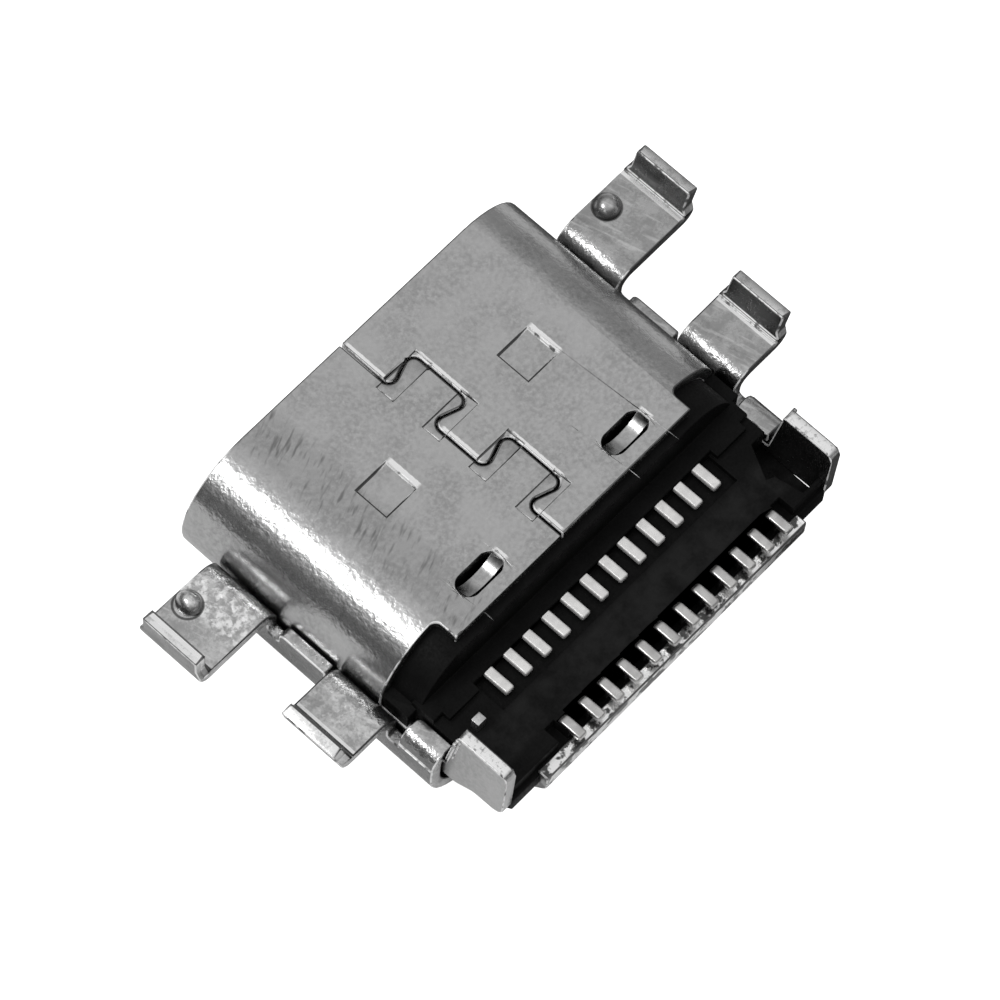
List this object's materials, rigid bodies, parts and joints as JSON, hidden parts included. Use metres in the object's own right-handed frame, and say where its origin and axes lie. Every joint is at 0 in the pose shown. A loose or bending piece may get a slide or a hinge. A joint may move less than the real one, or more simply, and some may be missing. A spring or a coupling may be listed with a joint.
{
  "type": "usb-c socket",
  "caption": "Mid-mount USB-C socket: folded steel shell with a dovetail seam in a bracket whose legs end in bent-up pegs, with staggered rows of tails at the rear",
  "frame": {"origin": "Middle of the outer box in X and Y, on the underside of the bracket, which is Z = 0", "axes": "+X to the right, looking into the mouth from the front with the board side up it is the left; +Y out of the mouth, towards the plug; +Z to the side that meets the circuit board"},
  "size_m": [0.0134, 0.008, 0.0033],
  "materials": {
    "shell_steel": "satin plated",
    "bracket_steel": "bright plated",
    "plate_steel": "satin",
    "housing_plastic": "moulded, matt",
    "wafer_plastic": "moulded, matt",
    "contact_plating": "plated"
  },
  "bodies": {
    "root": {"shell": "shell_steel", "bracket": "bracket_steel", "housing": "housing_plastic", "upper_wafer": "wafer_plastic", "lower_wafer": "wafer_plastic", "mid_plate": "plate_steel", "upper_ground_plate": "plate_steel", "lower_ground_plate": "plate_steel", "upper_contact_01": "contact_plating", "upper_contact_02": "contact_plating", "upper_contact_03": "contact_plating", "upper_contact_04": "contact_plating", "upper_contact_05": "contact_plating", "upper_contact_06": "contact_plating", "upper_contact_07": "contact_plating", "upper_contact_08": "contact_plating", "upper_contact_09": "contact_plating", "upper_contact_10": "contact_plating", "upper_contact_11": "contact_plating", "upper_contact_12": "contact_plating", "lower_contact_01": "contact_plating", "lower_contact_02": "contact_plating", "lower_contact_03": "contact_plating", "lower_contact_04": "contact_plating", "lower_contact_05": "contact_plating", "lower_contact_06": "contact_plating", "lower_contact_07": "contact_plating", "lower_contact_08": "contact_plating", "lower_contact_09": "contact_plating", "lower_contact_10": "contact_plating", "lower_contact_11": "contact_plating", "lower_contact_12": "contact_plating"}
  },
  "joints": []
}
